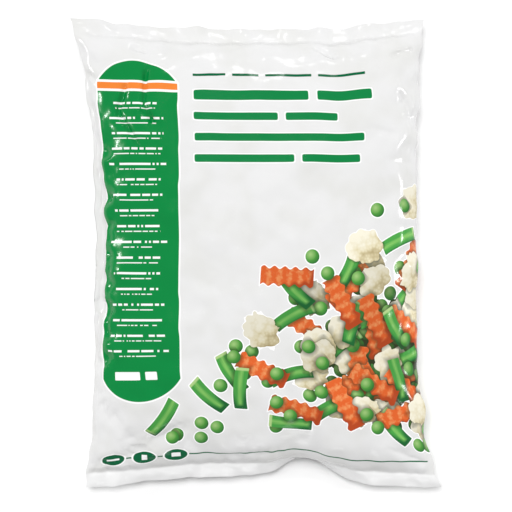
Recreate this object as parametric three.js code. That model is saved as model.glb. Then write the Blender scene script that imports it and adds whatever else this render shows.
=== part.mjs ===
// Frozen vegetable bag: a pillow bag of white film, heat sealed across both ends and filled with
// loose frozen pieces. It lies on its back with the printed front up. Millimetres.
// +X runs across the bag, +Y towards the top seal, +Z up. The origin is at the bottom centre of
// the bounding box, on the surface that the bag lies on.
import * as THREE from "three";
import { mergeVertices } from "three/addons/utils/BufferGeometryUtils.js";

// The empty film tube, laid flat
const TUBE_WIDTH = 320;
const TUBE_LENGTH = 426;
const SEAL_HEIGHT = 14;
const SEAL_THICKNESS = 1.4;

// The filled bag
const CROWN_HEIGHT = 63;
const WAIST_NARROWING = 15.5;
const WAIST_POWER = 4;
const CORNER_SKEW = 8;
const FOLD_HEIGHT = 27;
const SEAL_LINE_HEIGHT = 21;
const FLAT_UNDERSIDE_SHARE = 0.72;
const DOME_SQUARENESS = 2.7;
const DOME_ROUNDNESS = 0.5;

// The left fold stays flat beside the contents, as a fin that is widest near the middle
const FOLD_FIN = { width: 9, at: 0.06, reach: 0.5 };

// Both seals are pulled in between their corners
const TOP_SEAL_SAG = 11;
const BOTTOM_SEAL_SAG = 4;
const TOP_NOTCH = { at: 0.52, halfWidth: 0.1, depth: 4 };
const BOTTOM_ARCH = { at: 0.24, halfWidth: 0.2, depth: 9 };
const SEAL_DROOP_DEG = 24;
const ARCH_DROOP_DEG = 62;
const TOP_LEFT_LIFT = 7;

// Pleats that run from the seals into the body
const PLEAT_DEPTH = 2.6;
const PLEAT_COUNT = 9;
const PLEAT_REACH = 0.3;
const TOP_PLEAT_PHASE = 0.6;
const BOTTOM_PLEAT_PHASE = 2.1;
const PLEAT_SWAY = { size: 1.3, rate: 2.2 };

// Frozen pieces that press the film up from inside
const LUMP_COUNT = 90;
const LUMP_RADIUS = [14, 24];
const LUMP_RISE = [0.8, 2.2];
const LUMP_SPREAD = 0.86;
const LUMP_EDGE_FADE = 1.6;
const LUMP_SEED = 7;

// The tuck that the film makes beside the left fold
const TUCK = { at: -0.875, from: -0.36, to: 0.42, ramp: 0.12, depth: 3.2, halfWidth: 0.035 };

// Facets of the surface
const COLUMNS = 42;
const BODY_ROWS = 46;
const SEAL_ROWS = 2;
const ROW_EVENNESS = 0.55;
const COLUMN_EVENNESS = 0.45;

const FILM_COLOUR = 0xeeeeee;

const bell = (value, at, halfWidth) => Math.exp(-(((value - at) / halfWidth) ** 2));

// A plain linear congruential generator, so that every build places the lumps alike
function randomFrom(seed) {
  const multiplier = 1664525;
  const increment = 1013904223;
  const modulus = 2 ** 32;
  let state = seed;
  return () => {
    state = (state * multiplier + increment) % modulus;
    return state / modulus;
  };
}

// Lumps lie at seeded places all over the front, in film coordinates from -1 to 1
function makeLumps() {
  const random = randomFrom(LUMP_SEED);
  const between = ([low, high]) => low + (high - low) * random();
  const lumps = [];
  for (let i = 0; i < LUMP_COUNT; i++) {
    lumps.push({
      x: (2 * random() - 1) * LUMP_SPREAD * (TUBE_WIDTH / 2),
      y: (2 * random() - 1) * LUMP_SPREAD * (TUBE_LENGTH / 2),
      radius: between(LUMP_RADIUS),
      rise: between(LUMP_RISE),
    });
  }
  return lumps;
}

const LUMPS = makeLumps();

function lumpRise(u, v) {
  const x = (u * TUBE_WIDTH) / 2;
  const y = (v * TUBE_LENGTH) / 2;
  let rise = 0;
  for (const lump of LUMPS) {
    const far = Math.hypot(x - lump.x, y - lump.y) / lump.radius;
    rise = Math.max(rise, lump.rise * Math.exp(-far * far));
  }
  return rise;
}

// The share of the way along the body, from -1 at the bottom seal line to 1 at the top one
const BODY_END = 1 - (2 * SEAL_HEIGHT) / TUBE_LENGTH;
const alongBody = (v) => THREE.MathUtils.clamp(v / BODY_END, -1, 1);

function halfWidth(v) {
  return TUBE_WIDTH / 2 - WAIST_NARROWING * (1 - Math.abs(v) ** WAIST_POWER);
}

function acrossBag(u, v) {
  return u * halfWidth(v) - CORNER_SKEW * v ** 3;
}

// How far the end edge or the seal line is pulled in towards the middle of the bag
function pulledIn(u, v) {
  const between = 1 - u * u;
  if (v > 0) {
    const notch = TOP_NOTCH.depth * bell(u, TOP_NOTCH.at, TOP_NOTCH.halfWidth);
    return (TOP_SEAL_SAG * between + notch) * v * v;
  }
  const arch = BOTTOM_ARCH.depth * bell(u, BOTTOM_ARCH.at, BOTTOM_ARCH.halfWidth);
  return (BOTTOM_SEAL_SAG * between + arch) * v * v;
}

function droopAngle(u, v) {
  const arch = v < 0 ? ARCH_DROOP_DEG * bell(u, BOTTOM_ARCH.at, BOTTOM_ARCH.halfWidth) : 0;
  return THREE.MathUtils.degToRad(SEAL_DROOP_DEG + arch);
}

// Height of the seals and side folds, where the front and the back of the film meet
function rimHeight(u, v) {
  const end = Math.abs(alongBody(v)) ** 3;
  const height = FOLD_HEIGHT + (SEAL_LINE_HEIGHT - FOLD_HEIGHT) * end;
  return v > 0 ? height + TOP_LEFT_LIFT * Math.max(0, -u) ** 3 * v ** 4 : height;
}

// The share of the way from the middle to where the film leaves the fold, from 0 to 1
function towardsFold(u, v) {
  const fin = u < 0 ? (FOLD_FIN.width / halfWidth(v)) * bell(v, FOLD_FIN.at, FOLD_FIN.reach) : 0;
  return Math.min(1, Math.abs(u) / (1 - fin));
}

// How far the contents round the film out, from 0 at the seals and folds to 1 in the middle
function dome(u, v) {
  const profile = (share) => Math.max(0, 1 - share ** DOME_SQUARENESS) ** DOME_ROUNDNESS;
  return profile(towardsFold(u, v)) * profile(Math.abs(alongBody(v)));
}

function pleats(u, v) {
  const fromSeal = (1 - Math.abs(alongBody(v))) / PLEAT_REACH;
  const fade = Math.max(0, 1 - fromSeal) * Math.min(1, 3 * fromSeal);
  const phase = v > 0 ? TOP_PLEAT_PHASE : BOTTOM_PLEAT_PHASE;
  const sway = PLEAT_SWAY.size * Math.sin(PLEAT_SWAY.rate * u + phase);
  const wave = Math.cos(Math.PI * PLEAT_COUNT * u + phase + sway);
  return -PLEAT_DEPTH * fade * (0.5 + 0.5 * wave) * (1 - u ** 4);
}

function tuck(u, v) {
  const begun = THREE.MathUtils.smoothstep(v, TUCK.from, TUCK.from + TUCK.ramp);
  const ended = THREE.MathUtils.smoothstep(v, TUCK.to - TUCK.ramp, TUCK.to);
  return -TUCK.depth * begun * (1 - ended) * bell(u, TUCK.at, TUCK.halfWidth);
}

function frontHeight(u, v) {
  const rim = rimHeight(u, v) + SEAL_THICKNESS / 2;
  const rise = dome(u, v);
  const lump = lumpRise(u, v) * Math.min(1, LUMP_EDGE_FADE * rise);
  const relief = lump + pleats(u, v) + tuck(u, v);
  return rim + (CROWN_HEIGHT - rim) * rise + relief;
}

function backHeight(u, v) {
  const rim = rimHeight(u, v) - SEAL_THICKNESS / 2;
  const lowered = THREE.MathUtils.smoothstep(dome(u, v), 0, FLAT_UNDERSIDE_SHARE);
  return rim * (1 - lowered);
}

// A point of the bag's surface: u across and v along from -1 to 1, side 1 in front and -1 behind
function surfacePoint(u, v, side) {
  const body = THREE.MathUtils.clamp(v, -BODY_END, BODY_END);
  const end = Math.sign(v);
  const line = end * ((Math.abs(body) * TUBE_LENGTH) / 2 - pulledIn(u, body));
  const height = side > 0 ? frontHeight(u, body) : backHeight(u, body);
  const beyond = ((Math.abs(v) - Math.abs(body)) * TUBE_LENGTH) / 2;
  const angle = droopAngle(u, v);
  return new THREE.Vector3(
    acrossBag(u, v),
    line + end * beyond * Math.cos(angle),
    height - beyond * Math.sin(angle),
  );
}

// Moves an even share from -1 to 1 towards the nearer end, more so the lower the evenness
function closerToEnds(share, evenness) {
  return evenness * share + (1 - evenness) * Math.sin((share * Math.PI) / 2);
}

// Rows lie closer together towards the seals, and each seal has rows of its own
function rowPlace(row) {
  const half = BODY_ROWS / 2;
  const inBody = THREE.MathUtils.clamp(row, -half, half);
  const even = inBody / half;
  return closerToEnds(even, ROW_EVENNESS) * BODY_END + ((row - inBody) / SEAL_ROWS) * (1 - BODY_END);
}

function bagGeometry() {
  const rows = BODY_ROWS + 2 * SEAL_ROWS;
  const shell = new THREE.BoxGeometry(2, rows, 2, COLUMNS, rows, 1);
  shell.deleteAttribute("normal");
  shell.deleteAttribute("uv");
  const geometry = mergeVertices(shell);
  const position = geometry.getAttribute("position");
  for (let i = 0; i < position.count; i++) {
    const u = closerToEnds(position.getX(i), COLUMN_EVENNESS);
    const v = rowPlace(Math.round(position.getY(i)));
    const point = surfacePoint(u, v, position.getZ(i));
    position.setXYZ(i, point.x, point.y, point.z);
  }
  return geometry;
}

// The origin goes to the bottom centre of the bounding box
function centredOnItsBase(geometry) {
  geometry.computeBoundingBox();
  const { min, max } = geometry.boundingBox;
  geometry.translate(-(min.x + max.x) / 2, -(min.y + max.y) / 2, -min.z);
  geometry.computeVertexNormals();
  return geometry;
}

function makeBag() {
  const film = new THREE.MeshStandardMaterial({
    color: FILM_COLOUR,
    roughness: 0.35,
    metalness: 0,
  });
  const bag = new THREE.Mesh(centredOnItsBase(bagGeometry()), film);
  bag.name = "bag";
  return bag;
}

const group = new THREE.Group();
group.add(makeBag());

export default group;
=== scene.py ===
# A shut catering bag of frozen vegetables, lying on its back with the printed front up: a pillow
# of white film, heat sealed across both ends. Lengths are in millimetres unless a name says
# otherwise, and are turned to metres as each piece is made.
import math

import bmesh
import bpy
import numpy as np
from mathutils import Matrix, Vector, noise


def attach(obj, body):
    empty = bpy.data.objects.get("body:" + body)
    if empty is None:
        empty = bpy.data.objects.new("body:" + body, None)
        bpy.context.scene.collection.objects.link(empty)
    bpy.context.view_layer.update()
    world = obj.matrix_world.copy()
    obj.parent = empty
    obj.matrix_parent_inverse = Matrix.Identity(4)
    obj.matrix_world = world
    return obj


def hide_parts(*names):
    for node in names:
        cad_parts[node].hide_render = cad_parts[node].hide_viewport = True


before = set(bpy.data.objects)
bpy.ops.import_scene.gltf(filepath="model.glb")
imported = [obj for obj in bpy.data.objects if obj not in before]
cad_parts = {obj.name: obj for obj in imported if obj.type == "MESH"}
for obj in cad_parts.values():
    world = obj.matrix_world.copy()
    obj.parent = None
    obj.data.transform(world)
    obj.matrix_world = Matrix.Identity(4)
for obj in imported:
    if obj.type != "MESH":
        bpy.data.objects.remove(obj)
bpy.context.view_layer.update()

# The view: the photograph looks straight at the bag's front from far off, so the camera hangs
# over the bag. Its lens gives the photograph's scale at the level of the seals.
MM = 0.001
PHOTO_SIDE_PX = 512
PHOTO_MM_PER_PX = 0.9
PHOTO_BAG_ABOVE_CENTRE = 3 * PHOTO_MM_PER_PX
SEALS_LEVEL = 21.0
CAMERA_ABOVE_SEALS = 1600.0
FAR_END_M = 20

lens = bpy.data.cameras.new("front_camera")
lens.lens = lens.sensor_width * CAMERA_ABOVE_SEALS / (PHOTO_SIDE_PX * PHOTO_MM_PER_PX)
lens.clip_end = FAR_END_M
camera = bpy.data.objects.new("front_camera", lens)
camera.location = Vector((0, -PHOTO_BAG_ABOVE_CENTRE, SEALS_LEVEL + CAMERA_ABOVE_SEALS)) * MM
bpy.context.scene.collection.objects.link(camera)
bpy.context.scene.camera = camera

# The film: a printed sheet of white polyethylene a tenth of a millimetre thick, wrapped round and
# welded along the back into a tube, filled, and welded flat across both ends. These are the tube's
# sizes laid flat and filled, and how far each end weld is pulled in and droops.
TUBE_WIDTH = 320.0
TUBE_LENGTH = 426.0
SEAL_HEIGHT = 14.0
SEAL_THICKNESS = 1.4
CROWN_HEIGHT = 63.0
WAIST_NARROWING, WAIST_POWER = 15.5, 4
DOME_SQUARENESS, DOME_ROUNDNESS = 2.7, 0.5
TOP_SKEW, BOTTOM_SKEW = 8.0, 6.0
FOLD_HEIGHT = 27.0
FLAT_UNDERSIDE_SHARE = 0.72
FOLD_FIN = {"width": 9.0, "at": 0.06, "reach": 0.5}
TOP_SAG, BOTTOM_SAG = 11.0, 4.0
TOP_NOTCH = {"at": 0.52, "reach": 0.10, "depth": 4.0}
BOTTOM_ARCH = {"at": 0.24, "reach": 0.20, "depth": 10.5}
BOTTOM_HOLLOW = {"at": -0.27, "reach": 0.42, "depth": 7.5}
SEAL_DROOP_DEG, ARCH_DROOP_DEG = 24.0, 62.0
TOP_LEFT_LIFT = 7.0
PLEATS = {"depth": 2.6, "count": 9, "reach": 0.3, "sway": 1.3, "sway_rate": 2.2, "top_start": 0.6,
          "bottom_start": 2.1, "deepest_by": 3}
SEAL_FLUTTER = {"height": 3.6, "length": 30.0, "cut": 2.4}
FOLD_WAVE = {"depth": 3.6, "length": 30.0}
ROUGHNESS, FINER_BY, SIZES = 0.7, 2.6, 2
FOLDS_APART = 4
BODY_END = 1 - 2 * SEAL_HEIGHT / TUBE_LENGTH


def bell(value, at, reach):
    return math.exp(-(((value - at) / reach) ** 2))


def smooth_step(value, low, high):
    share = max(0.0, min(1.0, (value - low) / (high - low)))
    return share * share * (3 - 2 * share)


def half_width(v):
    return TUBE_WIDTH / 2 - WAIST_NARROWING * (1 - abs(v) ** WAIST_POWER)


def skew(v):
    """How far the bag's ends lean: the top to the left, and the bottom to the right."""
    return -(TOP_SKEW if v > 0 else BOTTOM_SKEW) * v ** 3


def pulled_in(u, v):
    sag, dents = (TOP_SAG, [TOP_NOTCH]) if v > 0 else (BOTTOM_SAG, [BOTTOM_ARCH, BOTTOM_HOLLOW])
    dented = sum(dent["depth"] * bell(u, dent["at"], dent["reach"]) for dent in dents)
    return (sag * (1 - u * u) + dented) * v * v


def seal_droop(u, v):
    arch = ARCH_DROOP_DEG * bell(u, BOTTOM_ARCH["at"], BOTTOM_ARCH["reach"]) if v < 0 else 0
    return math.radians(SEAL_DROOP_DEG + arch)


def rim_height(u, v):
    end = abs(v / BODY_END) ** 3
    lift = TOP_LEFT_LIFT * max(0, -u) ** 3 * v ** 4 if v > 0 else 0
    return FOLD_HEIGHT + (SEALS_LEVEL - FOLD_HEIGHT) * end + lift


def dome(u, v):
    """How far the contents round the film out, from 0 at the seals and folds to 1 in the middle."""
    fin = FOLD_FIN["width"] / half_width(v) * bell(v, FOLD_FIN["at"], FOLD_FIN["reach"]) if u < 0 else 0
    across = max(0, 1 - (abs(u) / (1 - fin)) ** DOME_SQUARENESS) ** DOME_ROUNDNESS
    return across * max(0, 1 - abs(v / BODY_END) ** DOME_SQUARENESS) ** DOME_ROUNDNESS


def pleats(u, v):
    from_seal = (1 - abs(v / BODY_END)) / PLEATS["reach"]
    fade = max(0, 1 - from_seal) * min(1, PLEATS["deepest_by"] * from_seal)
    start = PLEATS["top_start"] if v > 0 else PLEATS["bottom_start"]
    sway = PLEATS["sway"] * math.sin(PLEATS["sway_rate"] * u + start)
    wave = math.cos(math.pi * PLEATS["count"] * u + start + sway)
    return PLEATS["depth"] * fade * (0.5 + 0.5 * wave) * (1 - u ** 4)


def rough(along, apart):
    """Noise for an edge that folds in and out: broad waves with finer ones on them."""
    return noise.fractal(Vector((apart, along, 0)), ROUGHNESS, FINER_BY, SIZES)


FRONT, BACK, FOLD = 1, -1, 0


def film_height(u, v, side):
    rim = rim_height(u, v) + side * SEAL_THICKNESS / 2
    if side == FRONT:
        return rim + (CROWN_HEIGHT - rim) * dome(u, v) - pleats(u, v)
    if side == BACK:
        return rim * (1 - smooth_step(dome(u, v), 0, FLAT_UNDERSIDE_SHARE))
    return rim


ARC_POINTS = 121


def places_across(shares, v, side):
    """Where evenly spaced points of the flat film come to lie across the filled bag."""
    u = np.linspace(-1, 1, ARC_POINTS)
    heights = np.array([film_height(x, v, side) for x in u])
    steps = np.hypot(np.diff(u) * half_width(v), np.diff(heights))
    arc = np.concatenate([[0], np.cumsum(steps)])
    return np.interp(shares, arc / arc[-1] * 2 - 1, u)


def filled_place(u, share_along, side):
    """A point of the filled bag, for a place across it and a share along the film."""
    v = max(-BODY_END, min(BODY_END, share_along))
    end = math.copysign(1, share_along)
    beyond = (abs(share_along) - abs(v)) * TUBE_LENGTH / 2
    droop = seal_droop(u, share_along)
    line = abs(v) * TUBE_LENGTH / 2 - pulled_in(u, v)
    flutter = beyond / SEAL_HEIGHT * rough(u * TUBE_WIDTH / 2 / SEAL_FLUTTER["length"], end)
    wave = rough(share_along * TUBE_LENGTH / 2 / FOLD_WAVE["length"], math.copysign(FOLDS_APART, u))
    wave *= FOLD_WAVE["depth"] * abs(u) ** 3
    return Vector((
        u * (half_width(share_along) + wave) + skew(share_along),
        end * (line + beyond * math.cos(droop) + SEAL_FLUTTER["cut"] * flutter),
        film_height(u, v, side) - beyond * math.sin(droop) + SEAL_FLUTTER["height"] * flutter,
    ))


# The film's mesh starts as two flat sheets joined round their edges, with rows of its own in
# each seal. Each vertex keeps its place on the printed roll, which gives the print its
# coordinates and the cloth its unstretched length.
COLUMNS = 80
BODY_ROWS = 98
SEAL_ROWS = 4
ROWS = BODY_ROWS + 2 * SEAL_ROWS
TOUCHING = 1e-4
LIES_FLAT_BELOW = 0.3


def share_along_film(grid_y):
    row = (grid_y + 1) / 2 * ROWS
    in_body = max(SEAL_ROWS, min(ROWS - SEAL_ROWS, row))
    in_seal = (row - in_body) / SEAL_ROWS
    return ((in_body - SEAL_ROWS) / BODY_ROWS * 2 - 1) * BODY_END + in_seal * (1 - BODY_END)


film_mesh = bmesh.new()
side_of = film_mesh.verts.layers.int.new("side")
printed_at = film_mesh.loops.layers.uv.new("film")
for side in (FRONT, BACK):
    sheet = bmesh.ops.create_grid(film_mesh, x_segments=COLUMNS, y_segments=ROWS, size=1)["verts"]
    for vertex in sheet:
        vertex[side_of] = side
        vertex.co.y = share_along_film(vertex.co.y)
        vertex.co.z = side
    sheet_faces = list({face for vertex in sheet for face in vertex.link_faces})
    if side == BACK:
        bmesh.ops.reverse_faces(film_mesh, faces=sheet_faces)
    for face in sheet_faces:
        for loop in face.loops:
            across = loop.vert.co.x if side == FRONT else 2 - loop.vert.co.x
            loop[printed_at].uv = ((across + 1) / 4, (loop.vert.co.y + 1) / 2)
edges = [vertex for vertex in film_mesh.verts if vertex.is_boundary]
for vertex in edges:
    vertex[side_of] = FOLD
    vertex.co.z = 0
bmesh.ops.remove_doubles(film_mesh, verts=edges, dist=TOUCHING)

shares = np.linspace(-1, 1, COLUMNS + 1)
across_rows = {}
flat_places, filled_places, fullness, held, loose = [], [], [], [], []
film_mesh.verts.index_update()
for vertex in film_mesh.verts:
    share, along, side = vertex.co.x, vertex.co.y, vertex[side_of]
    body = max(-BODY_END, min(BODY_END, along))
    row = (round(body, 4), side)
    if row not in across_rows:
        across_rows[row] = places_across(shares, body, side or FRONT)
    u = float(np.interp(share, shares, across_rows[row])) if side else share
    place = filled_place(u, along, side)
    flat_x, flat_y = share * TUBE_WIDTH / 2, along * TUBE_LENGTH / 2
    flat_places.append(Vector((flat_x + skew(along), flat_y, side * SEAL_THICKNESS / 2)))
    filled_places.append(place)
    fullness.append(dome(u, body))
    lies_flat = side == BACK and place.z < LIES_FLAT_BELOW
    (held if abs(along) > BODY_END - TOUCHING or lies_flat else loose).append(vertex.index)

film_data = bpy.data.meshes.new("film")
film_mesh.to_mesh(film_data)
film_mesh.free()
film = bpy.data.objects.new("film", film_data)
bpy.context.scene.collection.objects.link(film)

# The contents: loose frozen pieces that fill the film and press small lumps into it. Only the
# cloth feels them, because the shut bag hides them.
LUMPS = 190
LUMPS_WITHIN_X, LUMPS_WITHIN_Y = 138, 185
LUMP_RADIUS = (11, 19)
LUMP_RISE = (0.8, 3.8)
LUMP_SEED = 7
FULL_BY = 3  # the lumps are full size once the film has risen by a third of the dome
FRONT_FROM = 0.2  # they press on film whose normal points up by at least this much
BELOW_FILM, BELOW_FILM_AT_EDGES = 2.0, 0.5
KEPT_FACES = 0.4
dice = np.random.default_rng(LUMP_SEED)
lump_x = dice.uniform(-LUMPS_WITHIN_X, LUMPS_WITHIN_X, LUMPS)
lump_y = dice.uniform(-LUMPS_WITHIN_Y, LUMPS_WITHIN_Y, LUMPS)
lump_radius = dice.uniform(*LUMP_RADIUS, LUMPS)
lump_rise = dice.uniform(*LUMP_RISE, LUMPS)


def lump_height(x, y):
    far = ((lump_x - x) ** 2 + (lump_y - y) ** 2) / lump_radius ** 2
    return float((lump_rise * np.exp(-far)).max())


SIMULATED = 0.01  # simulated units for a millimetre: ten times life size
SETTLE_FRAMES = 30
CONTENTS_SKIN, FILM_SKIN = 0.3, 0.4


def make_contents():
    """A collider just under the filled film, with a lump for each piece that presses on it."""
    body = bmesh.new()
    body.from_mesh(film_data)
    for vertex, place in zip(body.verts, filled_places):
        vertex.co = place
    body.normal_update()
    lowered = []
    for vertex, full in zip(body.verts, fullness):
        inside = min(1, FULL_BY * full)
        in_front = vertex.normal.z > FRONT_FROM
        rise = lump_height(vertex.co.x, vertex.co.y) * inside if in_front else 0
        below = BELOW_FILM_AT_EDGES + (BELOW_FILM - BELOW_FILM_AT_EDGES) * inside
        lowered.append((vertex.co + vertex.normal * (rise - below)) * SIMULATED)
    for vertex, place in zip(body.verts, lowered):
        vertex.co = place
    contents_data = bpy.data.meshes.new("contents")
    body.to_mesh(contents_data)
    body.free()
    contents = bpy.data.objects.new("contents", contents_data)
    bpy.context.scene.collection.objects.link(contents)
    contents.modifiers.new("fewer_faces", "DECIMATE").ratio = KEPT_FACES
    contents.modifiers.new("pushes_film", "COLLISION")
    contents.collision.thickness_outer = CONTENTS_SKIN * SIMULATED
    contents.collision.cloth_friction = 5
    contents.collision.damping = 0.5
    return contents


def settle_film():
    """Lets the loose film settle over the contents, by a cloth simulation."""
    contents = make_contents()
    film.shape_key_add(name="filled")
    flat_key = film.shape_key_add(name="flat")
    filled_key = film_data.shape_keys.key_blocks["filled"]
    for index, (flat, place) in enumerate(zip(flat_places, filled_places)):
        film_data.vertices[index].co = place * SIMULATED
        filled_key.data[index].co = place * SIMULATED
        flat_key.data[index].co = flat * SIMULATED
    film.vertex_groups.new(name="held").add(held, 1.0, "REPLACE")
    film.vertex_groups.new(name="loose").add(loose, 1.0, "REPLACE")

    cloth = film.modifiers.new("settling", "CLOTH")
    cloth.point_cache.frame_start, cloth.point_cache.frame_end = 1, SETTLE_FRAMES
    cloth.collision_settings.distance_min = FILM_SKIN * SIMULATED
    plastic = cloth.settings
    plastic.rest_shape_key = flat_key
    plastic.vertex_group_mass = "held"
    plastic.quality = 5
    plastic.mass = 0.15
    plastic.tension_stiffness = plastic.compression_stiffness = 30
    plastic.shear_stiffness = 21
    plastic.bending_stiffness = 0.12
    plastic.tension_damping = plastic.compression_damping = plastic.shear_damping = 5
    plastic.bending_damping = 0.5
    plastic.air_damping = 2
    plastic.use_pressure = True
    plastic.uniform_pressure_force = -0.1
    plastic.vertex_group_pressure = "loose"
    plastic.effector_weights.gravity = 0.5

    for step in range(1, SETTLE_FRAMES + 1):
        bpy.context.scene.frame_set(step)
    settled = film.evaluated_get(bpy.context.evaluated_depsgraph_get()).data
    places = [vertex.co / SIMULATED for vertex in settled.vertices]
    bpy.context.scene.frame_set(1)
    film.modifiers.remove(cloth)
    film.shape_key_clear()
    film.vertex_groups.clear()
    bpy.data.objects.remove(contents)
    return places


MOST_SETTLING, STILL = 9.0, 1e-6
settled_places = settle_film()
for vertex, settled_at, start in zip(film_data.vertices, settled_places, filled_places):
    moved = settled_at - start
    vertex.co = start + moved * min(1, MOST_SETTLING / max(moved.length, STILL))

# Creases that handling has left in the film: sharp ones, each from one place on the flat film to
# another, a crumpled strip where the film bends round the contents beside the left fold, a groove
# along each seal, and faint crinkles all over, which are deepest near the seals and folds.
CREASES = (
    {"start": (-97, 168), "end": (-100, 138), "depth": 3.3, "reach": 2.6},
    {"start": (-100, 138), "end": (-91, 117), "depth": 3.2, "reach": 2.6},
    {"start": (-117, 152), "end": (-125, 126), "depth": 3.2, "reach": 2.6},
    {"start": (-125, 126), "end": (-106, 96), "depth": 3.3, "reach": 2.6},
    {"start": (-91, 117), "end": (-104, 128), "depth": 2.6, "reach": 2.6},
    {"start": (58, 194), "end": (79, 182), "depth": 2.4, "reach": 3.2},
    {"start": (128, 178), "end": (152, 184), "depth": 2.5, "reach": 3.2},
    {"start": (134, 144), "end": (150, 118), "depth": 2.3, "reach": 3.4},
    {"start": (104, 112), "end": (140, 104), "depth": 1.0, "reach": 3.4},
    {"start": (-156, 162), "end": (-146, 154), "depth": 1.8, "reach": 3.0},
    {"start": (-110, 190), "end": (-92, 184), "depth": 1.4, "reach": 2.6},
    {"start": (-150, -196), "end": (-60, -158), "depth": 3.0, "reach": 8.0},
    {"start": (-146, -130), "end": (-112, -176), "depth": 1.6, "reach": 6.0},
    {"start": (-40, -192), "end": (24, -186), "depth": 1.4, "reach": 5.0},
    {"start": (118, -176), "end": (152, -190), "depth": 1.4, "reach": 3.2},
)
CREASE_END_FADE = 0.6
CRUMPLED = {"x": -139, "reach": 6.0, "from": -118, "to": 112, "fade": 30, "depth": 2.4, "fold": 11.0,
            "stretch": 3, "unevenness": 1.6}
SEAL_GROOVE = {"depth": 0.45, "reach": 1.8}
CRINKLES = {"depth": 0.6, "at_edges": 1.7, "deeper_from": 0.65, "deepest_from": 0.95, "fold": 24.0,
            "finer": 0.45, "finer_share": 0.5, "finer_apart": 40}
FINER_FROM = (0.3, 1.2)
SEAL_LINE = BODY_END * TUBE_LENGTH / 2


def crease_depth(x, y, crease):
    start, end = Vector(crease["start"]), Vector(crease["end"])
    run = end - start
    share = (Vector((x, y)) - start).dot(run) / run.length_squared
    share = max(0, min(1, share))
    off = (Vector((x, y)) - start - run * share).length
    return crease["depth"] * bell(off, 0, crease["reach"]) * (1 - (2 * share - 1) ** 4 * CREASE_END_FADE)


def sharp_depth(x, y):
    """How deep the sharp creases, the crumpled strip and the grooves are at a flat place."""
    deep = sum(crease_depth(x, y, crease) for crease in CREASES)
    deep += SEAL_GROOVE["depth"] * bell(abs(y), SEAL_LINE, SEAL_GROOVE["reach"])
    near = bell(x, CRUMPLED["x"], CRUMPLED["reach"])
    along = smooth_step(y, CRUMPLED["from"], CRUMPLED["from"] + CRUMPLED["fade"])
    along *= 1 - smooth_step(y, CRUMPLED["to"] - CRUMPLED["fade"], CRUMPLED["to"])
    folds = noise.noise(Vector((x / CRUMPLED["stretch"], y, 0)) / CRUMPLED["fold"])
    folds *= CRUMPLED["unevenness"]
    return deep + CRUMPLED["depth"] * near * along * (0.5 + folds)


def crinkle_depth(x, y):
    """Faint crinkles: sharp valleys, with broad facets of film between them."""
    to_edge = max(abs(x) / (TUBE_WIDTH / 2), abs(y) / (TUBE_LENGTH / 2))
    deeper = smooth_step(to_edge, CRINKLES["deeper_from"], CRINKLES["deepest_from"])
    depth = CRINKLES["depth"] + (CRINKLES["at_edges"] - CRINKLES["depth"]) * deeper
    facets = abs(noise.noise(Vector((x, y, 0)) / CRINKLES["fold"]))
    finer_place = Vector((x, y, CRINKLES["finer_apart"])) / (CRINKLES["finer"] * CRINKLES["fold"])
    facets += CRINKLES["finer_share"] * abs(noise.noise(finer_place))
    return depth * (1 - 2 * facets)


WELD_FADE = 12.0
FOLD_FADE = 6.0


def welded(y):
    """How far the front and back move as one: 1 in the seals, and 0 a little way into the body."""
    return smooth_step(abs(y), SEAL_LINE - WELD_FADE, SEAL_LINE)


# Along the middle of the back the sheet's two sides overlap and are welded, which leaves a groove
# beside each edge of the lap.
LAP = {"x": TUBE_WIDTH, "half_width": 6.0, "depth": 0.5, "reach": 1.6}


def lap_depth(x):
    return LAP["depth"] * bell(abs(x - LAP["x"]), LAP["half_width"], LAP["reach"])


def on_roll_mm(loop):
    uv = loop[printed_at].uv
    return (2 * uv.x - 0.5) * TUBE_WIDTH, (uv.y - 0.5) * TUBE_LENGTH


NEAR_FOLD = 0.1


def is_front(face):
    return min(on_roll_mm(loop)[0] for loop in face.loops) < TUBE_WIDTH / 2 - NEAR_FOLD


handled = bmesh.new()
handled.from_mesh(film_data)
printed_at = handled.loops.layers.uv["film"]
for finer_from in FINER_FROM:
    fine_edges = set()
    for vertex in handled.verts:
        loop = vertex.link_loops[0]
        x, y = on_roll_mm(loop)
        if (sharp_depth(x, y) if is_front(loop.face) else lap_depth(x)) > finer_from:
            fine_edges.update(vertex.link_edges)
    bmesh.ops.subdivide_edges(handled, edges=list(fine_edges), cuts=1, use_grid_fill=True)
handled.normal_update()
for vertex in handled.verts:
    sides = {is_front(face) for face in vertex.link_faces}
    x, y = on_roll_mm(vertex.link_loops[0])
    if sides == {True}:
        off_fold = smooth_step(TUBE_WIDTH / 2 - abs(x), 0, FOLD_FADE)
        crinkle = crinkle_depth(x, y) * max(welded(y), off_fold)
        vertex.co -= vertex.normal * (sharp_depth(x, y) + crinkle)
    elif sides == {False}:
        vertex.co += vertex.normal * (crinkle_depth(TUBE_WIDTH - x, y) * welded(y) - lap_depth(x))
    else:
        vertex.co.z -= crinkle_depth(min(x, TUBE_WIDTH - x), y) * welded(y)

# The cut ends and the flat folds near the corners keep a sharp edge, and so does the fin.
SHARP_FOLD_FROM = 0.6
kept_sharp = handled.edges.layers.float.new("crease_edge")
for edge in handled.edges:
    at_rim = len({is_front(face) for face in edge.link_faces}) == 2
    x, y = on_roll_mm(edge.link_loops[0])
    if at_rim and (x > 0) * SHARP_FOLD_FROM <= abs(y) / (TUBE_LENGTH / 2):
        edge[kept_sharp] = 1.0
        edge.smooth = False
bmesh.ops.scale(handled, verts=handled.verts, vec=(MM, MM, MM))
for face in handled.faces:
    face.smooth = True
handled.to_mesh(film_data)
handled.free()
finer = film.modifiers.new("finer", "SUBSURF")
finer.levels = finer.render_levels = 1


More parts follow.
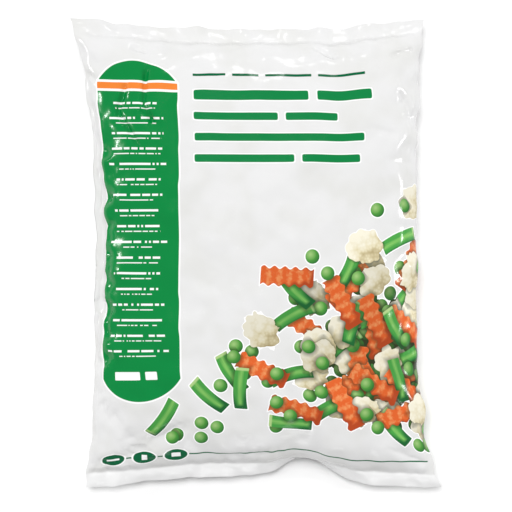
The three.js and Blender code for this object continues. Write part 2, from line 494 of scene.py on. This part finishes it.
# Printed polyethylene film: extruded, so glossy and slightly uneven, with the inks laid on its
# outer face while it is a flat roll. The film's UV map holds each point's place on the roll, so
# the print follows every wrinkle: the front from -160 to 160 mm across, and the back after it.
def linear(hex_colour):
    """A colour written as sRGB hex, as the linear values that a shader takes."""
    parts = [int(hex_colour[i:i + 2], 16) / 255 for i in (1, 3, 5)]
    return (*[c / 12.92 if c <= 0.04045 else ((c + 0.055) / 1.055) ** 2.4 for c in parts], 1)


def add(tree, kind, inputs=(), output=0, **settings):
    """Adds a node with its settings and links, and returns one of its outputs, if it has any."""
    node = tree.nodes.new(kind)
    for name, value in settings.items():
        setattr(node, name, value)
    for place, value in inputs.items() if isinstance(inputs, dict) else enumerate(inputs):
        if isinstance(value, bpy.types.NodeSocket):
            tree.links.new(value, node.inputs[place])
        elif value is not None:
            node.inputs[place].default_value = value
    return node.outputs[output] if node.outputs else None


MATH, VECTOR, RANGE = "ShaderNodeMath", "ShaderNodeVectorMath", "ShaderNodeMapRange"
NOISE, SPLIT, TURN = "ShaderNodeTexNoise", "ShaderNodeSeparateXYZ", "ShaderNodeVectorRotate"

printed_film = bpy.data.materials.new("printed_polyethylene_film")
printed_film.use_nodes = True
tree = printed_film.node_tree
tree.nodes.clear()
on_roll = add(tree, "ShaderNodeMapping", {
    "Vector": add(tree, "ShaderNodeUVMap", uv_map="film"),
    "Location": (-TUBE_WIDTH / 2, -TUBE_LENGTH / 2, 0),
    "Scale": (2 * TUBE_WIDTH, TUBE_LENGTH, 1),
})
roll_x = add(tree, SPLIT, [on_roll], 0)
roll_y = add(tree, SPLIT, [on_roll], 1)

FILM_WHITE = linear("#E3E3E3")
FILM_SHADE = linear("#DEDEDC")
SEAL_PAINTED_LIGHT = linear("#F2F2F2")
INK_WHITE = linear("#FBFBFB")
PANEL_GREEN = linear("#04853F")
TITLE_GREEN = linear("#0A8042")
DARK_GREEN = linear("#05603A")
STRIPE_ORANGE = linear("#EE8536")
INK_BLUR = 0.2


def grade(first, second, value, low, high):
    """Goes from one colour to another as a value goes from low to high."""
    share = add(tree, RANGE, {"Value": value, "From Min": low, "From Max": high})
    return add(tree, "ShaderNodeMix", {0: share, 6: first, 7: second}, 2, data_type="RGBA")


def lay_ink(under, ink, far):
    """Prints a shape, given how far each point lies outside it."""
    return grade(ink, under, far, -INK_BLUR, INK_BLUR)


def outside_bar(left, right, bottom, top, corner):
    """How far a point lies outside a bar with round corners."""
    beyond = []
    for value, low, high in ((roll_x, left, right), (roll_y, bottom, top)):
        off = add(tree, MATH, [value, (low + high) / 2], operation="SUBTRACT")
        size = add(tree, MATH, [off], operation="ABSOLUTE")
        beyond.append(add(tree, MATH, [size, (high - low) / 2], operation="SUBTRACT"))
    return add(tree, MATH, [*beyond, corner], operation="SMOOTH_MAX")


CLOUD_SIZE, CLOUD_TONES = 38, (0.42, 0.72)
cloudy = add(tree, NOISE, {"Vector": on_roll, "Scale": 1 / CLOUD_SIZE}, noise_dimensions="2D")
ink = grade(FILM_WHITE, FILM_SHADE, cloudy, *CLOUD_TONES)
# Painted light: the bottom seal, front and back, is painted lighter than the film, standing in for the
# extra light that the drooping seal seems to catch.
SEAL_EDGE_BLUR = 1.5
ink = grade(SEAL_PAINTED_LIGHT, ink, roll_y, -SEAL_LINE - SEAL_EDGE_BLUR, -SEAL_LINE)

# Pictured vegetables: a heap in the lower right corner that thins out along a diagonal. Each kind
# is printed in passes. A pass divides the roll into square cells and puts at most one piece in
# each, shifted and turned at random. A piece shades those under it, and the whole has a white edge.
HEAP_SLOPE = (0.9, -1.1, 0.0)
HEAP_EDGE = 34.0
HEAP_FADE = 34.0
HEAP_FLOOR = -158.0
PEA_FLOOR = -176.0
HEAP_SIDE = 168.0
CLEAR_OF_PANEL_X, CLEAR_OF_PANEL_Y = -47.0, -147.0
CORE_MIDDLE = (122.0, -92.0, 0.0)
CORE_REACH = 66.0
CORE_FADE = 34.0
WHITE_EDGE = 1.0
SHADOW_REACH = 4.2
SHADOW_CORE = -2.4
HEAP_SHADOW = linear("#2F3820")
NOT_PRINTED = 1000.0
TOWARDS_SHADE = (0.5, -0.85, 0)
SHIFT_FOR_SEED = (0.37, 0.73)
LIGHTNESS_RANGE = 0.32


def scatter(cell, turn_deg, seed, jitter, full, start=HEAP_EDGE, floor=HEAP_FLOOR, kinds=(0.0, 1.0),
            core=None, darkest=0.76):
    """One pass: each point's place from its piece's centre, upright and turned with the piece,
    how much is added to the distance where no piece is printed, and how light the piece is."""
    turn = math.radians(turn_deg)
    grid = add(tree, "ShaderNodeMapping", {
        "Vector": on_roll,
        "Location": (seed * SHIFT_FOR_SEED[0], seed * SHIFT_FOR_SEED[1], 0),
        "Rotation": (0, 0, turn),
        "Scale": (1 / cell, 1 / cell, 1),
    })
    index = add(tree, VECTOR, [grid], operation="FLOOR")
    inside = add(tree, VECTOR, [grid], operation="FRACTION")
    colour = add(tree, "ShaderNodeTexWhiteNoise", {"Vector": index, "W": seed}, 1, noise_dimensions="4D")
    shift = add(tree, VECTOR, [colour, (2 * jitter, 2 * jitter, 0), (-jitter - cell / 2,) * 2 + (0,)],
                operation="MULTIPLY_ADD")
    centred = add(tree, VECTOR, [inside, (cell, cell, 0), shift], operation="MULTIPLY_ADD")
    upright = add(tree, TURN, {"Vector": centred, "Angle": -turn}, rotation_type="Z_AXIS")
    kind, chance, turns = (add(tree, "ShaderNodeSeparateColor", [colour], part) for part in range(3))
    spin = add(tree, MATH, [turns, 2 * math.pi], operation="MULTIPLY")
    turned = add(tree, TURN, {"Vector": upright, "Angle": spin}, rotation_type="Z_AXIS")
    centre = add(tree, VECTOR, [on_roll, upright], operation="SUBTRACT")
    centre_x, centre_y = add(tree, SPLIT, [centre], 0), add(tree, SPLIT, [centre], 1)
    if core:
        from_core = add(tree, VECTOR, [centre, CORE_MIDDLE], 1, operation="DISTANCE")
        share = add(tree, RANGE, {"Value": from_core, "From Min": core + CORE_FADE, "From Max": core,
                                  "To Max": full})
    else:
        depth = add(tree, VECTOR, [centre, HEAP_SLOPE], 1, operation="DOT_PRODUCT")
        share = add(tree, RANGE, {"Value": depth, "From Min": start, "From Max": start + HEAP_FADE,
                                  "To Max": full})
    above_floor = add(tree, MATH, [centre_y, floor], operation="GREATER_THAN")
    inside_fold = add(tree, MATH, [centre_x, HEAP_SIDE], operation="LESS_THAN")
    right_of_panel = add(tree, MATH, [centre_x, CLEAR_OF_PANEL_X], operation="SUBTRACT")
    under_panel = add(tree, MATH, [CLEAR_OF_PANEL_Y, centre_y], operation="SUBTRACT")
    off_panel = add(tree, MATH, [right_of_panel, under_panel], operation="MAXIMUM")
    clear = add(tree, MATH, [off_panel, 0.0], operation="GREATER_THAN")
    middle, half = (kinds[0] + kinds[1]) / 2, (kinds[1] - kinds[0]) / 2
    right_kind = add(tree, MATH, [kind, middle, half], operation="COMPARE")
    for allowed in (clear, above_floor, inside_fold, right_kind):
        share = add(tree, MATH, [share, allowed], operation="MULTIPLY")
    missing = add(tree, MATH, [chance, share], operation="GREATER_THAN")
    missing = add(tree, MATH, [missing, NOT_PRINTED], operation="MULTIPLY")
    lightness = add(tree, MATH, [chance, LIGHTNESS_RANGE, darkest], operation="MULTIPLY_ADD")
    return upright, turned, {"missing": missing, "lightness": lightness}


def print_pieces(printed, shape, colour, missing, lightness):
    """Prints one pass of pieces, each a little lighter or darker, over the ink and the pieces that
    are there, given as the colour and as how far each point lies outside every piece."""
    ink, outside = printed
    far = add(tree, MATH, [shape, missing], operation="ADD")
    colour = add(tree, "ShaderNodeHueSaturation", {"Color": colour, "Value": lightness})
    on_film = add(tree, MATH, [outside, 0.0], operation="GREATER_THAN")
    shaded = add(tree, MATH, [on_film, NOT_PRINTED, far], operation="MULTIPLY_ADD")
    ink = lay_ink(grade(HEAP_SHADOW, ink, shaded, SHADOW_CORE, SHADOW_REACH), colour, far)
    return ink, add(tree, MATH, [outside, far], operation="MINIMUM")


CARROT_LIGHT, CARROT, CARROT_DARK = linear("#F19A60"), linear("#E4672F"), linear("#B84A22")
RIDGE_DEPTH, STICK_CORNER, STICK_GRAIN = 1.3, 1.2, 0.3
STICK_SHADING, RIDGE_LIGHT = 0.35, 0.22
STICK_TONES, STICK_SHADE = (0.42, 0.85), (-1.5, 2.5)


def carrots(printed, half_length, half_wide, ridge, **where):
    """Crinkle-cut carrot sticks: both long edges follow the ridges, which run across."""
    upright, turned, piece = scatter(**where)
    lengthwise, sideways = add(tree, SPLIT, [turned], 0), add(tree, SPLIT, [turned], 1)
    ridges = add(tree, MATH, [lengthwise, 2 * math.pi / ridge], operation="MULTIPLY")
    wave = add(tree, MATH, [ridges], operation="SINE")
    shifted = add(tree, MATH, [wave, RIDGE_DEPTH, sideways], operation="MULTIPLY_ADD")
    size = add(tree, MATH, [shifted], operation="ABSOLUTE")
    beyond_side = add(tree, MATH, [size, half_wide], operation="SUBTRACT")
    length = add(tree, MATH, [lengthwise], operation="ABSOLUTE")
    beyond_end = add(tree, MATH, [length, half_length], operation="SUBTRACT")
    shape = add(tree, MATH, [beyond_side, beyond_end, STICK_CORNER], operation="SMOOTH_MAX")
    grain = add(tree, NOISE, {"Vector": turned, "Scale": STICK_GRAIN}, noise_dimensions="2D")
    lit = add(tree, MATH, [wave, RIDGE_LIGHT, grain], operation="MULTIPLY_ADD")
    body = grade(CARROT, CARROT_LIGHT, lit, *STICK_TONES)
    slope = add(tree, VECTOR, [upright, TOWARDS_SHADE], 1, operation="DOT_PRODUCT")
    shaded = add(tree, MATH, [slope, STICK_SHADING, shape], operation="MULTIPLY_ADD")
    return print_pieces(printed, shape, grade(body, CARROT_DARK, shaded, *STICK_SHADE), **piece)


BEAN_LIGHT, BEAN, BEAN_DARK = linear("#86C566"), linear("#4BA148"), linear("#1F6633")
BEAN_CUT = linear("#B4D58C")
ROD_BEND, ROD_OFF_MIDDLE, ROD_CORNER = 0.006, 0.9, 1.6
ROD_STREAK, ROD_SHADING = 3.2, 0.3
STREAK_STRETCH = (0.04, 0.8, 1)
ROD_TONES, ROD_SHADE = (1.4, 4.4), (-1.6, 2.0)
CUT_DEPTH, CUT_BLUR = 3.2, 1.2


def beans(printed, half_length, half_wide, **where):
    """Cut green beans: slightly bent rods, bright along the top, with one pale cut end."""
    upright, turned, piece = scatter(**where)
    lengthwise, sideways = add(tree, SPLIT, [turned], 0), add(tree, SPLIT, [turned], 1)
    squared = add(tree, MATH, [lengthwise, lengthwise], operation="MULTIPLY")
    bent = add(tree, MATH, [squared, ROD_BEND, sideways], operation="MULTIPLY_ADD")
    from_axis = add(tree, MATH, [bent, ROD_OFF_MIDDLE], operation="SUBTRACT")
    size = add(tree, MATH, [from_axis], operation="ABSOLUTE")
    length = add(tree, MATH, [lengthwise], operation="ABSOLUTE")
    beyond_end = add(tree, MATH, [length, half_length], operation="SUBTRACT")
    beyond_side = add(tree, MATH, [size, half_wide], operation="SUBTRACT")
    shape = add(tree, MATH, [beyond_end, beyond_side, ROD_CORNER], operation="SMOOTH_MAX")
    stretched = add(tree, VECTOR, [turned, STREAK_STRETCH], operation="MULTIPLY")
    streak = add(tree, NOISE, {"Vector": stretched, "Scale": 1.0}, noise_dimensions="2D")
    lit = add(tree, MATH, [streak, ROD_STREAK, size], operation="MULTIPLY_ADD")
    body = grade(BEAN_LIGHT, BEAN, lit, *ROD_TONES)
    cut_from = half_length - CUT_DEPTH
    body = grade(body, BEAN_CUT, lengthwise, cut_from, cut_from + CUT_BLUR)
    slope = add(tree, VECTOR, [upright, TOWARDS_SHADE], 1, operation="DOT_PRODUCT")
    shaded = add(tree, MATH, [slope, ROD_SHADING, shape], operation="MULTIPLY_ADD")
    return print_pieces(printed, shape, grade(body, BEAN_DARK, shaded, *ROD_SHADE), **piece)


PEA_LIGHT, PEA, PEA_DARK = linear("#A9D684"), linear("#5CAB48"), linear("#2C7637")
LIT_POINT, PEA_TONES, PEA_SHADE = 0.3, (0.1, 0.85), (0.75, 1.4)


def peas(printed, radius, **where):
    """Peas: round, lit from the upper left."""
    upright, turned, piece = scatter(**where)
    reach = add(tree, VECTOR, [upright], 1, operation="LENGTH")
    shape = add(tree, MATH, [reach, radius], operation="SUBTRACT")
    lit_at = LIT_POINT * radius
    from_light = add(tree, VECTOR, [upright, (-lit_at, lit_at, 0)], 1, operation="DISTANCE")
    body = grade(PEA_LIGHT, PEA, from_light, PEA_TONES[0] * radius, PEA_TONES[1] * radius)
    body = grade(body, PEA_DARK, from_light, PEA_SHADE[0] * radius, PEA_SHADE[1] * radius)
    return print_pieces(printed, shape, body, **piece)


CURD_LIGHT, CURD, CURD_DARK = linear("#F3EEDA"), linear("#DFD4AE"), linear("#A8966A")
LOBE_SIZE, CURD_SIZE = 9, 3
LOBE_DEPTH, CURD_DEPTH, HEAD_MARGIN = 7.0, 0.8, 3.2
LOBE_TONE, CURD_TONE, HEAD_SHADING = 0.9, 0.45, 0.6
HEAD_SQUASH = (1.0, 1.22, 1)
HEAD_TONES, HEAD_SHADE = (0.1, 1.0), (0.8, 1.7)


def cauliflower(printed, radius, **where):
    """Cauliflower florets: cream heads of round lobes and small curds, with darker clefts, shaded
    towards the lower right."""
    upright, turned, piece = scatter(**where)
    lobes = add(tree, "ShaderNodeTexVoronoi", {"Vector": on_roll, "Scale": 1 / LOBE_SIZE,
                                               "Smoothness": 0.3},
                voronoi_dimensions="2D", feature="SMOOTH_F1")
    curds = add(tree, "ShaderNodeTexVoronoi", {"Vector": on_roll, "Scale": 1 / CURD_SIZE},
                voronoi_dimensions="2D")
    squashed = add(tree, VECTOR, [turned, HEAD_SQUASH], operation="MULTIPLY")
    reach = add(tree, VECTOR, [squashed], 1, operation="LENGTH")
    ragged = add(tree, MATH, [lobes, LOBE_DEPTH, reach], operation="MULTIPLY_ADD")
    ragged = add(tree, MATH, [curds, CURD_DEPTH, ragged], operation="MULTIPLY_ADD")
    shape = add(tree, MATH, [ragged, radius + HEAD_MARGIN], operation="SUBTRACT")
    fall = HEAD_SHADING / radius
    slope = add(tree, VECTOR, [upright, (fall, -fall, 0)], 1, operation="DOT_PRODUCT")
    tone = add(tree, MATH, [lobes, LOBE_TONE, slope], operation="MULTIPLY_ADD")
    tone = add(tree, MATH, [curds, CURD_TONE, tone], operation="MULTIPLY_ADD")
    body = grade(CURD_LIGHT, CURD, tone, *HEAD_TONES)
    return print_pieces(printed, shape, grade(body, CURD_DARK, tone, *HEAD_SHADE), **piece)


WAVE_SIZE, WAVE_DEPTH, CORE_INSET = 26, 44.0, 40.0
wavy = add(tree, NOISE, {"Vector": on_roll, "Scale": 1 / WAVE_SIZE}, noise_dimensions="2D")
to_core = add(tree, VECTOR, [on_roll, CORE_MIDDLE], 1, operation="DISTANCE")
core_far = add(tree, MATH, [wavy, -WAVE_DEPTH, to_core], operation="MULTIPLY_ADD")
core_far = add(tree, MATH, [core_far, CORE_REACH - CORE_INSET], operation="SUBTRACT")
past_heap = add(tree, MATH, [roll_x, HEAP_SIDE], operation="SUBTRACT")
core_far = add(tree, MATH, [core_far, past_heap], operation="MAXIMUM")
printed = lay_ink(ink, HEAP_SHADOW, core_far), core_far

PEA_RADIUS, SMALL_PEA_RADIUS = 6.4, 6.2
STICK = {"half_length": 24, "half_wide": 7.8, "ridge": 9.4}
ROD = {"half_length": 19.5, "half_wide": 6.0}
BEANS_TO, CARROTS_TO = 0.33, 0.68
CORE = {"jitter": 2, "full": 1.0, "core": CORE_REACH}
DEEP = {"full": 1.0, "core": 0.6 * CORE_REACH}
FIRST = {"cell": 55, "turn_deg": 24, "seed": 5, "jitter": 2, "full": 0.9}
SECOND = {"cell": 56, "turn_deg": 66, "seed": 29, "jitter": 2, "full": 0.85, "start": 46}
THIRD = {"cell": 55, "turn_deg": 4, "seed": 13, "jitter": 2, "full": 0.8, "start": 58}
printed = peas(printed, PEA_RADIUS, cell=14, turn_deg=35, seed=2, jitter=0.5, **DEEP, darkest=0.3)
printed = carrots(printed, **STICK, cell=55, turn_deg=71, seed=37, jitter=2, **DEEP, darkest=0.5)
printed = cauliflower(printed, 17.0, cell=43, turn_deg=12, seed=3, **CORE, darkest=0.6)
printed = beans(printed, **ROD, cell=45, turn_deg=57, seed=11, **CORE)
printed = carrots(printed, **STICK, cell=56, turn_deg=41, seed=19, **CORE)
printed = peas(printed, PEA_RADIUS, cell=20, turn_deg=21, seed=8, jitter=3, full=0.24,
               floor=PEA_FLOOR)
printed = cauliflower(printed, 16.0, cell=52, turn_deg=33, seed=23, **CORE)
for layer in (THIRD, SECOND, FIRST):
    printed = beans(printed, **ROD, **layer, kinds=(0.0, BEANS_TO))
    printed = carrots(printed, **STICK, **layer, kinds=(BEANS_TO, CARROTS_TO))
    printed = cauliflower(printed, 17.5, **layer, kinds=(CARROTS_TO, 1.0))
ink, outside = peas(printed, SMALL_PEA_RADIUS, cell=19, turn_deg=49, seed=31, jitter=2.5, full=0.2,
                    start=70, floor=PEA_FLOOR)
beside_piece = add(tree, MATH, [outside, WHITE_EDGE / 2, WHITE_EDGE / 2], operation="COMPARE")
ink = grade(ink, INK_WHITE, beside_piece, 0.0, 1.0)

# The green panel down the left side: a plain band with shallow round ends, its head crossed by an
# orange stripe. Rows of white bars fill it like the lines of a list, with two bars at its foot.
PANEL_LEFT, PANEL_RIGHT = -145.0, -68.5
PANEL_TOP, PANEL_FOOT = 175.0, -134.0
PANEL_END_RISE = 21.0
PANEL_BORDER = 1.5
panel_x = (PANEL_LEFT + PANEL_RIGHT) / 2
panel_half_wide = (PANEL_RIGHT - PANEL_LEFT) / 2
end_radius = (panel_half_wide ** 2 + PANEL_END_RISE ** 2) / (2 * PANEL_END_RISE)
off_x = add(tree, MATH, [roll_x, panel_x], operation="SUBTRACT")
off_y = add(tree, MATH, [roll_y, (PANEL_TOP + PANEL_FOOT) / 2], operation="SUBTRACT")
from_middle_x = add(tree, MATH, [off_x], operation="ABSOLUTE")
beyond_side = add(tree, MATH, [from_middle_x, panel_half_wide], operation="SUBTRACT")
straight = (PANEL_TOP - PANEL_FOOT) / 2 - end_radius
from_middle_y = add(tree, MATH, [off_y], operation="ABSOLUTE")
in_end = add(tree, MATH, [from_middle_y, straight], operation="SUBTRACT")
in_end = add(tree, MATH, [in_end, 0.0], operation="MAXIMUM")
from_end_centre = add(tree, VECTOR, [add(tree, "ShaderNodeCombineXYZ", [off_x, in_end])], 1,
                      operation="LENGTH")
beyond_end = add(tree, MATH, [from_end_centre, end_radius], operation="SUBTRACT")
panel_far = add(tree, MATH, [beyond_side, beyond_end], operation="MAXIMUM")
ink = lay_ink(ink, INK_WHITE, add(tree, MATH, [panel_far, PANEL_BORDER], operation="SUBTRACT"))

STRIPE_Y, STRIPE_HALF, STRIPE_EDGE = 151.0, 3.0, 2.2
off_stripe = add(tree, MATH, [roll_y, STRIPE_Y], operation="SUBTRACT")
from_stripe = add(tree, MATH, [off_stripe], operation="ABSOLUTE")
stripe_far = add(tree, MATH, [from_stripe, STRIPE_HALF], operation="SUBTRACT")
panel_ink = grade(INK_WHITE, PANEL_GREEN, stripe_far, STRIPE_EDGE - INK_BLUR, STRIPE_EDGE + INK_BLUR)
panel_ink = lay_ink(panel_ink, STRIPE_ORANGE, stripe_far)


GAP_SHARE = 0.18


def list_rows(under, colour, centre_x, top, pitch, rows, line_at, half_height, widths, seed, letter):
    """Rows of bars like lines of print, each row of its own width, broken by gaps a letter wide."""
    below_top = add(tree, MATH, [top, roll_y], operation="SUBTRACT")
    place = add(tree, MATH, [below_top, 1 / pitch], operation="MULTIPLY")
    row = add(tree, MATH, [place], operation="FLOOR")
    share_of_row = add(tree, MATH, [place], operation="FRACT")
    inside = add(tree, MATH, [share_of_row, pitch], operation="MULTIPLY")
    above_list = add(tree, MATH, [-0.5, row], operation="SUBTRACT")
    below_list = add(tree, MATH, [row, rows - 0.5], operation="SUBTRACT")
    off_list = add(tree, MATH, [above_list, below_list], operation="MAXIMUM")
    chance = add(tree, "ShaderNodeTexWhiteNoise", {
        "Vector": add(tree, "ShaderNodeCombineXYZ", [row, seed])}, noise_dimensions="2D")
    narrow, wide = widths
    half_wide = add(tree, MATH, [chance, (wide - narrow) / 2, narrow / 2], operation="MULTIPLY_ADD")
    from_x = add(tree, MATH, [roll_x, centre_x], operation="SUBTRACT")
    size_x = add(tree, MATH, [from_x], operation="ABSOLUTE")
    beyond_x = add(tree, MATH, [size_x, half_wide], operation="SUBTRACT")
    from_y = add(tree, MATH, [inside, line_at], operation="SUBTRACT")
    size_y = add(tree, MATH, [from_y], operation="ABSOLUTE")
    beyond_y = add(tree, MATH, [size_y, half_height], operation="SUBTRACT")
    in_letters = add(tree, MATH, [from_x, 1 / letter], operation="MULTIPLY")
    letters = add(tree, MATH, [in_letters], operation="FLOOR")
    gap_chance = add(tree, "ShaderNodeTexWhiteNoise", {
        "Vector": add(tree, "ShaderNodeCombineXYZ", [letters, row, seed])}, noise_dimensions="3D")
    in_gap = add(tree, MATH, [gap_chance, GAP_SHARE], operation="LESS_THAN")
    far = add(tree, MATH, [beyond_x, beyond_y], operation="MAXIMUM")
    far = add(tree, MATH, [far, off_list], operation="MAXIMUM")
    return lay_ink(under, colour, add(tree, MATH, [in_gap, NOT_PRINTED, far], operation="MULTIPLY_ADD"))


LIST = {"centre_x": -108.0, "top": 139.0, "pitch": 13.9, "rows": 17}
panel_ink = list_rows(panel_ink, INK_WHITE, **LIST, line_at=4.2, half_height=0.95, widths=(38, 61),
                      seed=1.0, letter=1.9)
panel_ink = list_rows(panel_ink, INK_WHITE, **LIST, line_at=8.8, half_height=0.45, widths=(28, 47),
                      seed=2.0, letter=1.3)
FOOT_ROW = {"foot": -114.0, "top": -106.5, "corner": 1.5, "bars": ((-131.0, -106.0), (-101.0, -90.0))}
for left, right in FOOT_ROW["bars"]:
    bar_far = outside_bar(left, right, FOOT_ROW["foot"], FOOT_ROW["top"], FOOT_ROW["corner"])
    panel_ink = lay_ink(panel_ink, INK_WHITE, bar_far)
ink = lay_ink(ink, panel_ink, panel_far)

# The title: four lines of plain green bars on the bare film, each bar with a white edge, and a row
# of thin bars above them.
TITLE_LEFT, TITLE_CORNER, TITLE_EDGE = -54, 3.0, 1.0
TITLE_LINES = (
    {"y": 143.5, "half_height": 4.7, "words": ((TITLE_LEFT, 50), (58, 108))},
    {"y": 123.5, "half_height": 3.6, "words": ((TITLE_LEFT, 22), (29, 76))},
    {"y": 104.0, "half_height": 3.6, "words": ((TITLE_LEFT, 100),)},
    {"y": 84.5, "half_height": 3.6, "words": ((TITLE_LEFT, 36), (43, 96))},
)
SMALL_LINE = {"foot": 162.2, "top": 164.8, "corner": 1.0,
              "words": ((TITLE_LEFT, -24), (-18, 6), (12, 54), (60, 103))}
for line in TITLE_LINES:
    for left, right in line["words"]:
        bottom, top = line["y"] - line["half_height"], line["y"] + line["half_height"]
        word_far = outside_bar(left, right, bottom, top, TITLE_CORNER)
        ink = grade(INK_WHITE, ink, word_far, TITLE_EDGE - INK_BLUR, TITLE_EDGE + INK_BLUR)
        ink = lay_ink(ink, TITLE_GREEN, word_far)
for left, right in SMALL_LINE["words"]:
    small_far = outside_bar(left, right, SMALL_LINE["foot"], SMALL_LINE["top"], SMALL_LINE["corner"])
    ink = lay_ink(ink, DARK_GREEN, small_far)

# The foot of the front: three small green ovals with a plain white shape in each, on a thin line.
LINE_Y, LINE_HALF, LINE_CORNER, LINE_LEFT, LINE_RIGHT = -188.0, 0.6, 0.4, -136, 154
OVAL_HALF_WIDE, OVAL_FLATNESS, OVAL_EDGE, OVAL_SHAPE_CORNER = 10.5, 1.9, 1.6, 0.8
OVALS = (
    {"x": -135.0, "half_wide": 6.0, "half_tall": 0.9},
    {"x": -106.0, "half_wide": 2.6, "half_tall": 2.6},
    {"x": -77.0, "half_wide": 4.2, "half_tall": 2.0},
)
line_far = outside_bar(LINE_LEFT, LINE_RIGHT, LINE_Y - LINE_HALF, LINE_Y + LINE_HALF, LINE_CORNER)
ink = lay_ink(ink, DARK_GREEN, line_far)
for oval in OVALS:
    from_oval = add(tree, VECTOR, [on_roll, (oval["x"], LINE_Y, 0)], operation="SUBTRACT")
    rounded = add(tree, VECTOR, [from_oval, (1, OVAL_FLATNESS, 0)], operation="MULTIPLY")
    reach = add(tree, VECTOR, [rounded], 1, operation="LENGTH")
    oval_far = add(tree, MATH, [reach, OVAL_HALF_WIDE], operation="SUBTRACT")
    ink = grade(INK_WHITE, ink, oval_far, OVAL_EDGE - INK_BLUR, OVAL_EDGE + INK_BLUR)
    ink = lay_ink(ink, DARK_GREEN, oval_far)
    left, right = oval["x"] - oval["half_wide"], oval["x"] + oval["half_wide"]
    bottom, top = LINE_Y - oval["half_tall"], LINE_Y + oval["half_tall"]
    ink = lay_ink(ink, INK_WHITE, outside_bar(left, right, bottom, top, OVAL_SHAPE_CORNER))

# The back: a column of green bars like small print on each side of the lap.
COLUMN_OFF_LAP = 62
for index, column_x in enumerate((LAP["x"] - COLUMN_OFF_LAP, LAP["x"] + COLUMN_OFF_LAP)):
    ink = list_rows(ink, DARK_GREEN, centre_x=column_x, top=120.0, pitch=9.0, rows=22, line_at=4.5,
                    half_height=1.0, widths=(62, 96), seed=3.0 + index, letter=2.1)

DIMPLE_SIZE, DIMPLE_DEPTH = 9, 0.4
dimples = add(tree, NOISE, {"Vector": on_roll, "Scale": 1 / DIMPLE_SIZE, "Detail": 3.0},
              noise_dimensions="2D")
bump = add(tree, "ShaderNodeBump", {"Height": dimples, "Strength": 0.25, "Distance": DIMPLE_DEPTH * MM})
finish = add(tree, "ShaderNodeBsdfPrincipled", {
    "Base Color": ink, "Roughness": 0.16, "Specular IOR Level": 0.3, "Normal": bump})
add(tree, "ShaderNodeOutputMaterial", [finish])
film_data.materials.append(printed_film)
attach(film, "root")
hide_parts("bag")

# The studio: a plain pale floor, broad soft light from overhead that the film doesn't mirror, and
# four low soft boxes round the bag, which its creases and steep sides do mirror.
JUST_BELOW = 0.2
FLOOR_HALF_SIDE_M = 15
floor_mesh = bmesh.new()
bmesh.ops.create_grid(floor_mesh, x_segments=1, y_segments=1, size=FLOOR_HALF_SIDE_M)
bmesh.ops.translate(floor_mesh, verts=floor_mesh.verts, vec=(0, 0, -JUST_BELOW * MM))
floor_data = bpy.data.meshes.new("floor")
floor_mesh.to_mesh(floor_data)
floor_mesh.free()
floor = bpy.data.objects.new("floor", floor_data)
bpy.context.scene.collection.objects.link(floor)
pale = bpy.data.materials.new("pale_floor")
pale.use_nodes = True
pale_surface = pale.node_tree.nodes["Principled BSDF"]
pale_surface.inputs["Base Color"].default_value = linear("#FAFAFA")
pale_surface.inputs["Roughness"].default_value = 0.9
floor_data.materials.append(pale)

world = bpy.data.worlds.new("studio")
world.use_nodes = True
world.node_tree.nodes["Background"].inputs["Color"].default_value = (1, 1, 1, 1)
world.node_tree.nodes["Background"].inputs["Strength"].default_value = 0.3
bpy.context.scene.world = world
OVERHEAD = {"shines_from": (-0.24, 0.64, 2.1), "strength": 2.18, "spread_deg": 30}
overhead_data = bpy.data.lights.new("overhead", "SUN")
overhead_data.energy = OVERHEAD["strength"]
overhead_data.angle = math.radians(OVERHEAD["spread_deg"])
overhead = bpy.data.objects.new("overhead", overhead_data)
overhead.rotation_euler = (-Vector(OVERHEAD["shines_from"])).to_track_quat("-Z", "Y").to_euler()
overhead.visible_glossy = False
bpy.context.scene.collection.objects.link(overhead)

SOFT_BOXES = (
    {"name": "beyond_top", "place_m": (0.1, 1.5, 0.8), "watts": 1.5, "side_m": 0.2},
    {"name": "left_side", "place_m": (-1.6, 0.3, 0.7), "watts": 5.0, "side_m": 0.15},
    {"name": "right_side", "place_m": (1.6, 0.1, 0.7), "watts": 6.8, "side_m": 0.2},
    {"name": "before_foot", "place_m": (0.0, -1.5, 0.8), "watts": 0.9, "side_m": 0.3},
)
for box in SOFT_BOXES:
    light_data = bpy.data.lights.new(box["name"], "AREA")
    light_data.size = box["side_m"]
    light_data.energy = box["watts"]
    light = bpy.data.objects.new(box["name"], light_data)
    light.location = box["place_m"]
    light.rotation_euler = (-Vector(box["place_m"])).to_track_quat("-Z", "Y").to_euler()
    bpy.context.scene.collection.objects.link(light)
bpy.context.scene.view_settings.view_transform = "Standard"
